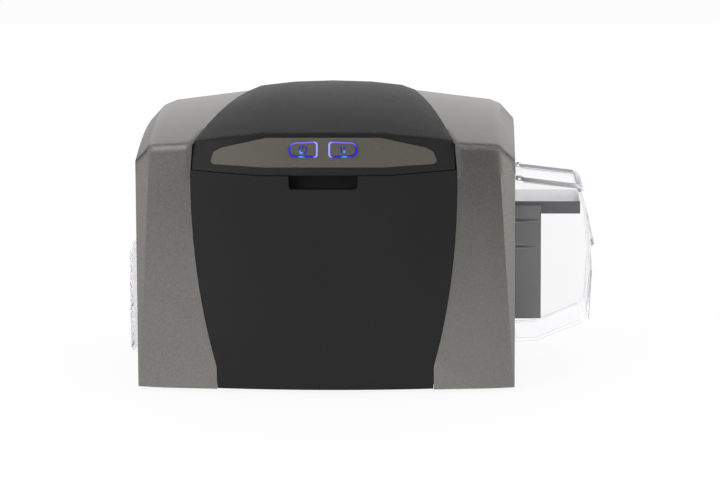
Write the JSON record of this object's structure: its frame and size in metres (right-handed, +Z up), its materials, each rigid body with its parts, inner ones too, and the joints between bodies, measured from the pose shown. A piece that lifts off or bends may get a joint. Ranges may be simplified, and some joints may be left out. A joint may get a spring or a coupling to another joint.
{
  "type": "id card printer",
  "caption": "Desktop card printer with a drop-down front door, a clear hopper on one side and a clear output bin on the other.",
  "frame": {"origin": "on the table, under the middle of the whole machine's outline", "axes": "+X across from the output bin to the card hopper, +Y from the front door to the rear panel, +Z up"},
  "size_m": [0.3491, 0.201, 0.215],
  "materials": {
    "cover_silver": "fine satin metallic paint",
    "cover_black": "fine matt black plastic",
    "panel_pewter": "satin warm pewter",
    "blue_light": "lit blue light guide",
    "clear_plastic": "clear moulded plastic",
    "grey_plastic": "satin grey plastic",
    "dark_plastic": "matt dark plastic",
    "white_gear": "unpainted acetal",
    "steel": "bright steel",
    "plated_steel": "zinc plated sheet",
    "bronze": "sintered bronze",
    "brass": "turned brass",
    "roller_rubber": "ground rubber",
    "feet_rubber": "soft rubber",
    "cleaning_rubber": "tacky blue rubber",
    "motor_steel": "zinc plated can",
    "ribbon": "thin dye film",
    "ribbon_roll": "wound dye film",
    "board_green": "soldered circuit board"
  },
  "bodies": {
    "body": {"base_pan": "dark_plastic", "feet": "feet_rubber", "left_cover": "cover_silver", "right_cover": "cover_silver", "top_cover": "cover_black", "rear_panel": "dark_plastic", "control_panel": "panel_pewter", "light_guides": "blue_light", "control_board": "board_green", "front_frame": "plated_steel", "rear_frame": "plated_steel", "shaft_bushes": "bronze", "card_guide": "grey_plastic", "hopper_shell": "clear_plastic", "tray_spring": "steel", "output_bin": "clear_plastic", "drive_motor": "motor_steel", "ribbon_motor": "motor_steel", "head_spring": "steel", "main_board": "board_green", "power_inlet": "dark_plastic", "usb_port": "steel", "fan_housing": "dark_plastic", "cover_screws": "steel"},
    "front_door": {"front_door": "cover_black", "door_grip": "cover_black", "door_pins": "steel"},
    "power_button": {"power_button": "panel_pewter"},
    "pause_button": {"pause_button": "panel_pewter"},
    "hopper_lid": {"hopper_lid": "clear_plastic"},
    "hopper_door": {"hopper_door": "clear_plastic"},
    "card_tray": {"card_tray": "grey_plastic"},
    "output_flap": {"output_flap": "clear_plastic"},
    "platen": {"platen_roller": "roller_rubber", "platen_shaft": "steel", "platen_gear": "white_gear"},
    "feed": {"feed_roller": "roller_rubber", "feed_shaft": "steel", "feed_gear": "white_gear"},
    "exit": {"exit_roller": "roller_rubber", "exit_shaft": "steel", "exit_gear": "white_gear"},
    "pick": {"pick_roller": "roller_rubber", "pick_shaft": "steel", "pick_gear": "white_gear"},
    "feed_idler": {"feed_idler_gear": "white_gear"},
    "exit_idler": {"exit_idler_gear": "white_gear"},
    "pinion": {"motor_pinion": "brass"},
    "feed_pinch": {"feed_pinch_roller": "steel"},
    "exit_pinch": {"exit_pinch_roller": "steel"},
    "spindle": {"take_up_spindle": "steel"},
    "cartridge": {"cartridge_frame": "grey_plastic", "ribbon_film": "ribbon"},
    "supply": {"supply_spool": "ribbon_roll"},
    "take_up": {"take_up_spool": "ribbon_roll"},
    "cleaner": {"cleaning_roller": "cleaning_rubber"},
    "print_head": {"printhead": "dark_plastic", "head_arm": "plated_steel"},
    "fan": {"fan_rotor": "dark_plastic"}
  },
  "joints": [
    {"name": "front_door_swing", "type": "hinge", "parent": "body", "child": "front_door", "pos_m": [-0.02475, -0.09, 0.012], "axis": [1, 0, 0], "range_deg": [0, 88]},
    {"name": "power_button_press", "type": "slide", "parent": "body", "child": "power_button", "axis": [0, 0.9865, -0.1637], "range_m": [0, 0.0008], "stiffness_N_per_m": 500, "springref_m": -0.002},
    {"name": "pause_button_press", "type": "slide", "parent": "body", "child": "pause_button", "axis": [0, 0.9865, -0.1637], "range_m": [0, 0.0008], "stiffness_N_per_m": 500, "springref_m": -0.002},
    {"name": "hopper_lid_swing", "type": "hinge", "parent": "body", "child": "hopper_lid", "pos_m": [0.11735, 0, 0.1494], "axis": [0, -1, 0], "range_deg": [0, 80]},
    {"name": "hopper_door_swing", "type": "hinge", "parent": "body", "child": "hopper_door", "pos_m": [0.16725, 0, 0.04564], "axis": [0, 1, 0], "range_deg": [0, 95]},
    {"name": "card_tray_slide", "type": "slide", "parent": "body", "child": "card_tray", "axis": [0, 0, -1], "range_m": [0, 0.075], "stiffness_N_per_m": 80, "springref_m": -0.06, "deforming": ["tray_spring"]},
    {"name": "output_flap_swing", "type": "hinge", "parent": "body", "child": "output_flap", "pos_m": [-0.17265, 0, 0.0508], "axis": [0, -1, 0], "range_deg": [0, 75]},
    {"name": "platen_turn", "type": "hinge", "parent": "body", "child": "platen", "pos_m": [-0.01465, 0, 0.124], "axis": [0, 1, 0], "continuous": true},
    {"name": "feed_turn", "type": "hinge", "parent": "body", "child": "feed", "pos_m": [0.06655, 0, 0.127], "axis": [0, 1, 0], "continuous": true},
    {"name": "exit_turn", "type": "hinge", "parent": "body", "child": "exit", "pos_m": [-0.07565, 0, 0.127], "axis": [0, 1, 0], "continuous": true},
    {"name": "pick_turn", "type": "hinge", "parent": "body", "child": "pick", "pos_m": [0.09022, 0, 0.14196], "axis": [0, 1, 0], "continuous": true},
    {"name": "feed_idler_turn", "type": "hinge", "parent": "body", "child": "feed_idler", "pos_m": [0.02918, 0, 0.12012], "axis": [0, 1, 0], "continuous": true},
    {"name": "exit_idler_turn", "type": "hinge", "parent": "body", "child": "exit_idler", "pos_m": [-0.04845, 0, 0.12034], "axis": [0, 1, 0], "continuous": true},
    {"name": "pinion_turn", "type": "hinge", "parent": "body", "child": "pinion", "pos_m": [0.02918, 0, 0.08812], "axis": [0, 1, 0], "continuous": true},
    {"name": "feed_pinch_turn", "type": "hinge", "parent": "body", "child": "feed_pinch", "pos_m": [0.06655, 0, 0.13896], "axis": [0, 1, 0], "continuous": true},
    {"name": "exit_pinch_turn", "type": "hinge", "parent": "body", "child": "exit_pinch", "pos_m": [-0.07565, 0, 0.13896], "axis": [0, 1, 0], "continuous": true},
    {"name": "spindle_turn", "type": "hinge", "parent": "body", "child": "spindle", "pos_m": [-0.04965, 0, 0.149], "axis": [0, 1, 0], "continuous": true},
    {"name": "cartridge_slide", "type": "slide", "parent": "body", "child": "cartridge", "axis": [0, -1, 0], "range_m": [0, 0.008]},
    {"name": "supply_turn", "type": "hinge", "parent": "cartridge", "child": "supply", "pos_m": [0.02035, 0, 0.149], "axis": [0, 1, 0], "continuous": true},
    {"name": "take_up_turn", "type": "hinge", "parent": "cartridge", "child": "take_up", "pos_m": [-0.04965, 0, 0.149], "axis": [0, 1, 0], "continuous": true},
    {"name": "cleaner_turn", "type": "hinge", "parent": "cartridge", "child": "cleaner", "pos_m": [0.03985, 0, 0.14006], "axis": [0, 1, 0], "continuous": true},
    {"name": "head_lift", "type": "hinge", "parent": "body", "child": "print_head", "pos_m": [0.01935, 0, 0.172], "axis": [0, 1, 0], "range_deg": [0, 8], "stiffness_Nm_per_rad": 0.8, "springref_deg": -17.19, "deforming": ["head_spring"]},
    {"name": "fan_turn", "type": "hinge", "parent": "body", "child": "fan", "pos_m": [-0.09975, 0, 0.06], "axis": [0, 1, 0], "continuous": true}
  ],
  "couplings": [
    {"joint": "feed_turn", "follows": "platen_turn", "ratio": 1.5},
    {"joint": "exit_turn", "follows": "platen_turn", "ratio": 1.5},
    {"joint": "pick_turn", "follows": "platen_turn", "ratio": -1.125},
    {"joint": "feed_idler_turn", "follows": "platen_turn", "ratio": -0.69231},
    {"joint": "exit_idler_turn", "follows": "platen_turn", "ratio": -1.125},
    {"joint": "pinion_turn", "follows": "platen_turn", "ratio": 3},
    {"joint": "take_up_turn", "follows": "supply_turn", "ratio": 1.3125},
    {"joint": "spindle_turn", "follows": "supply_turn", "ratio": 1.3125}
  ]
}
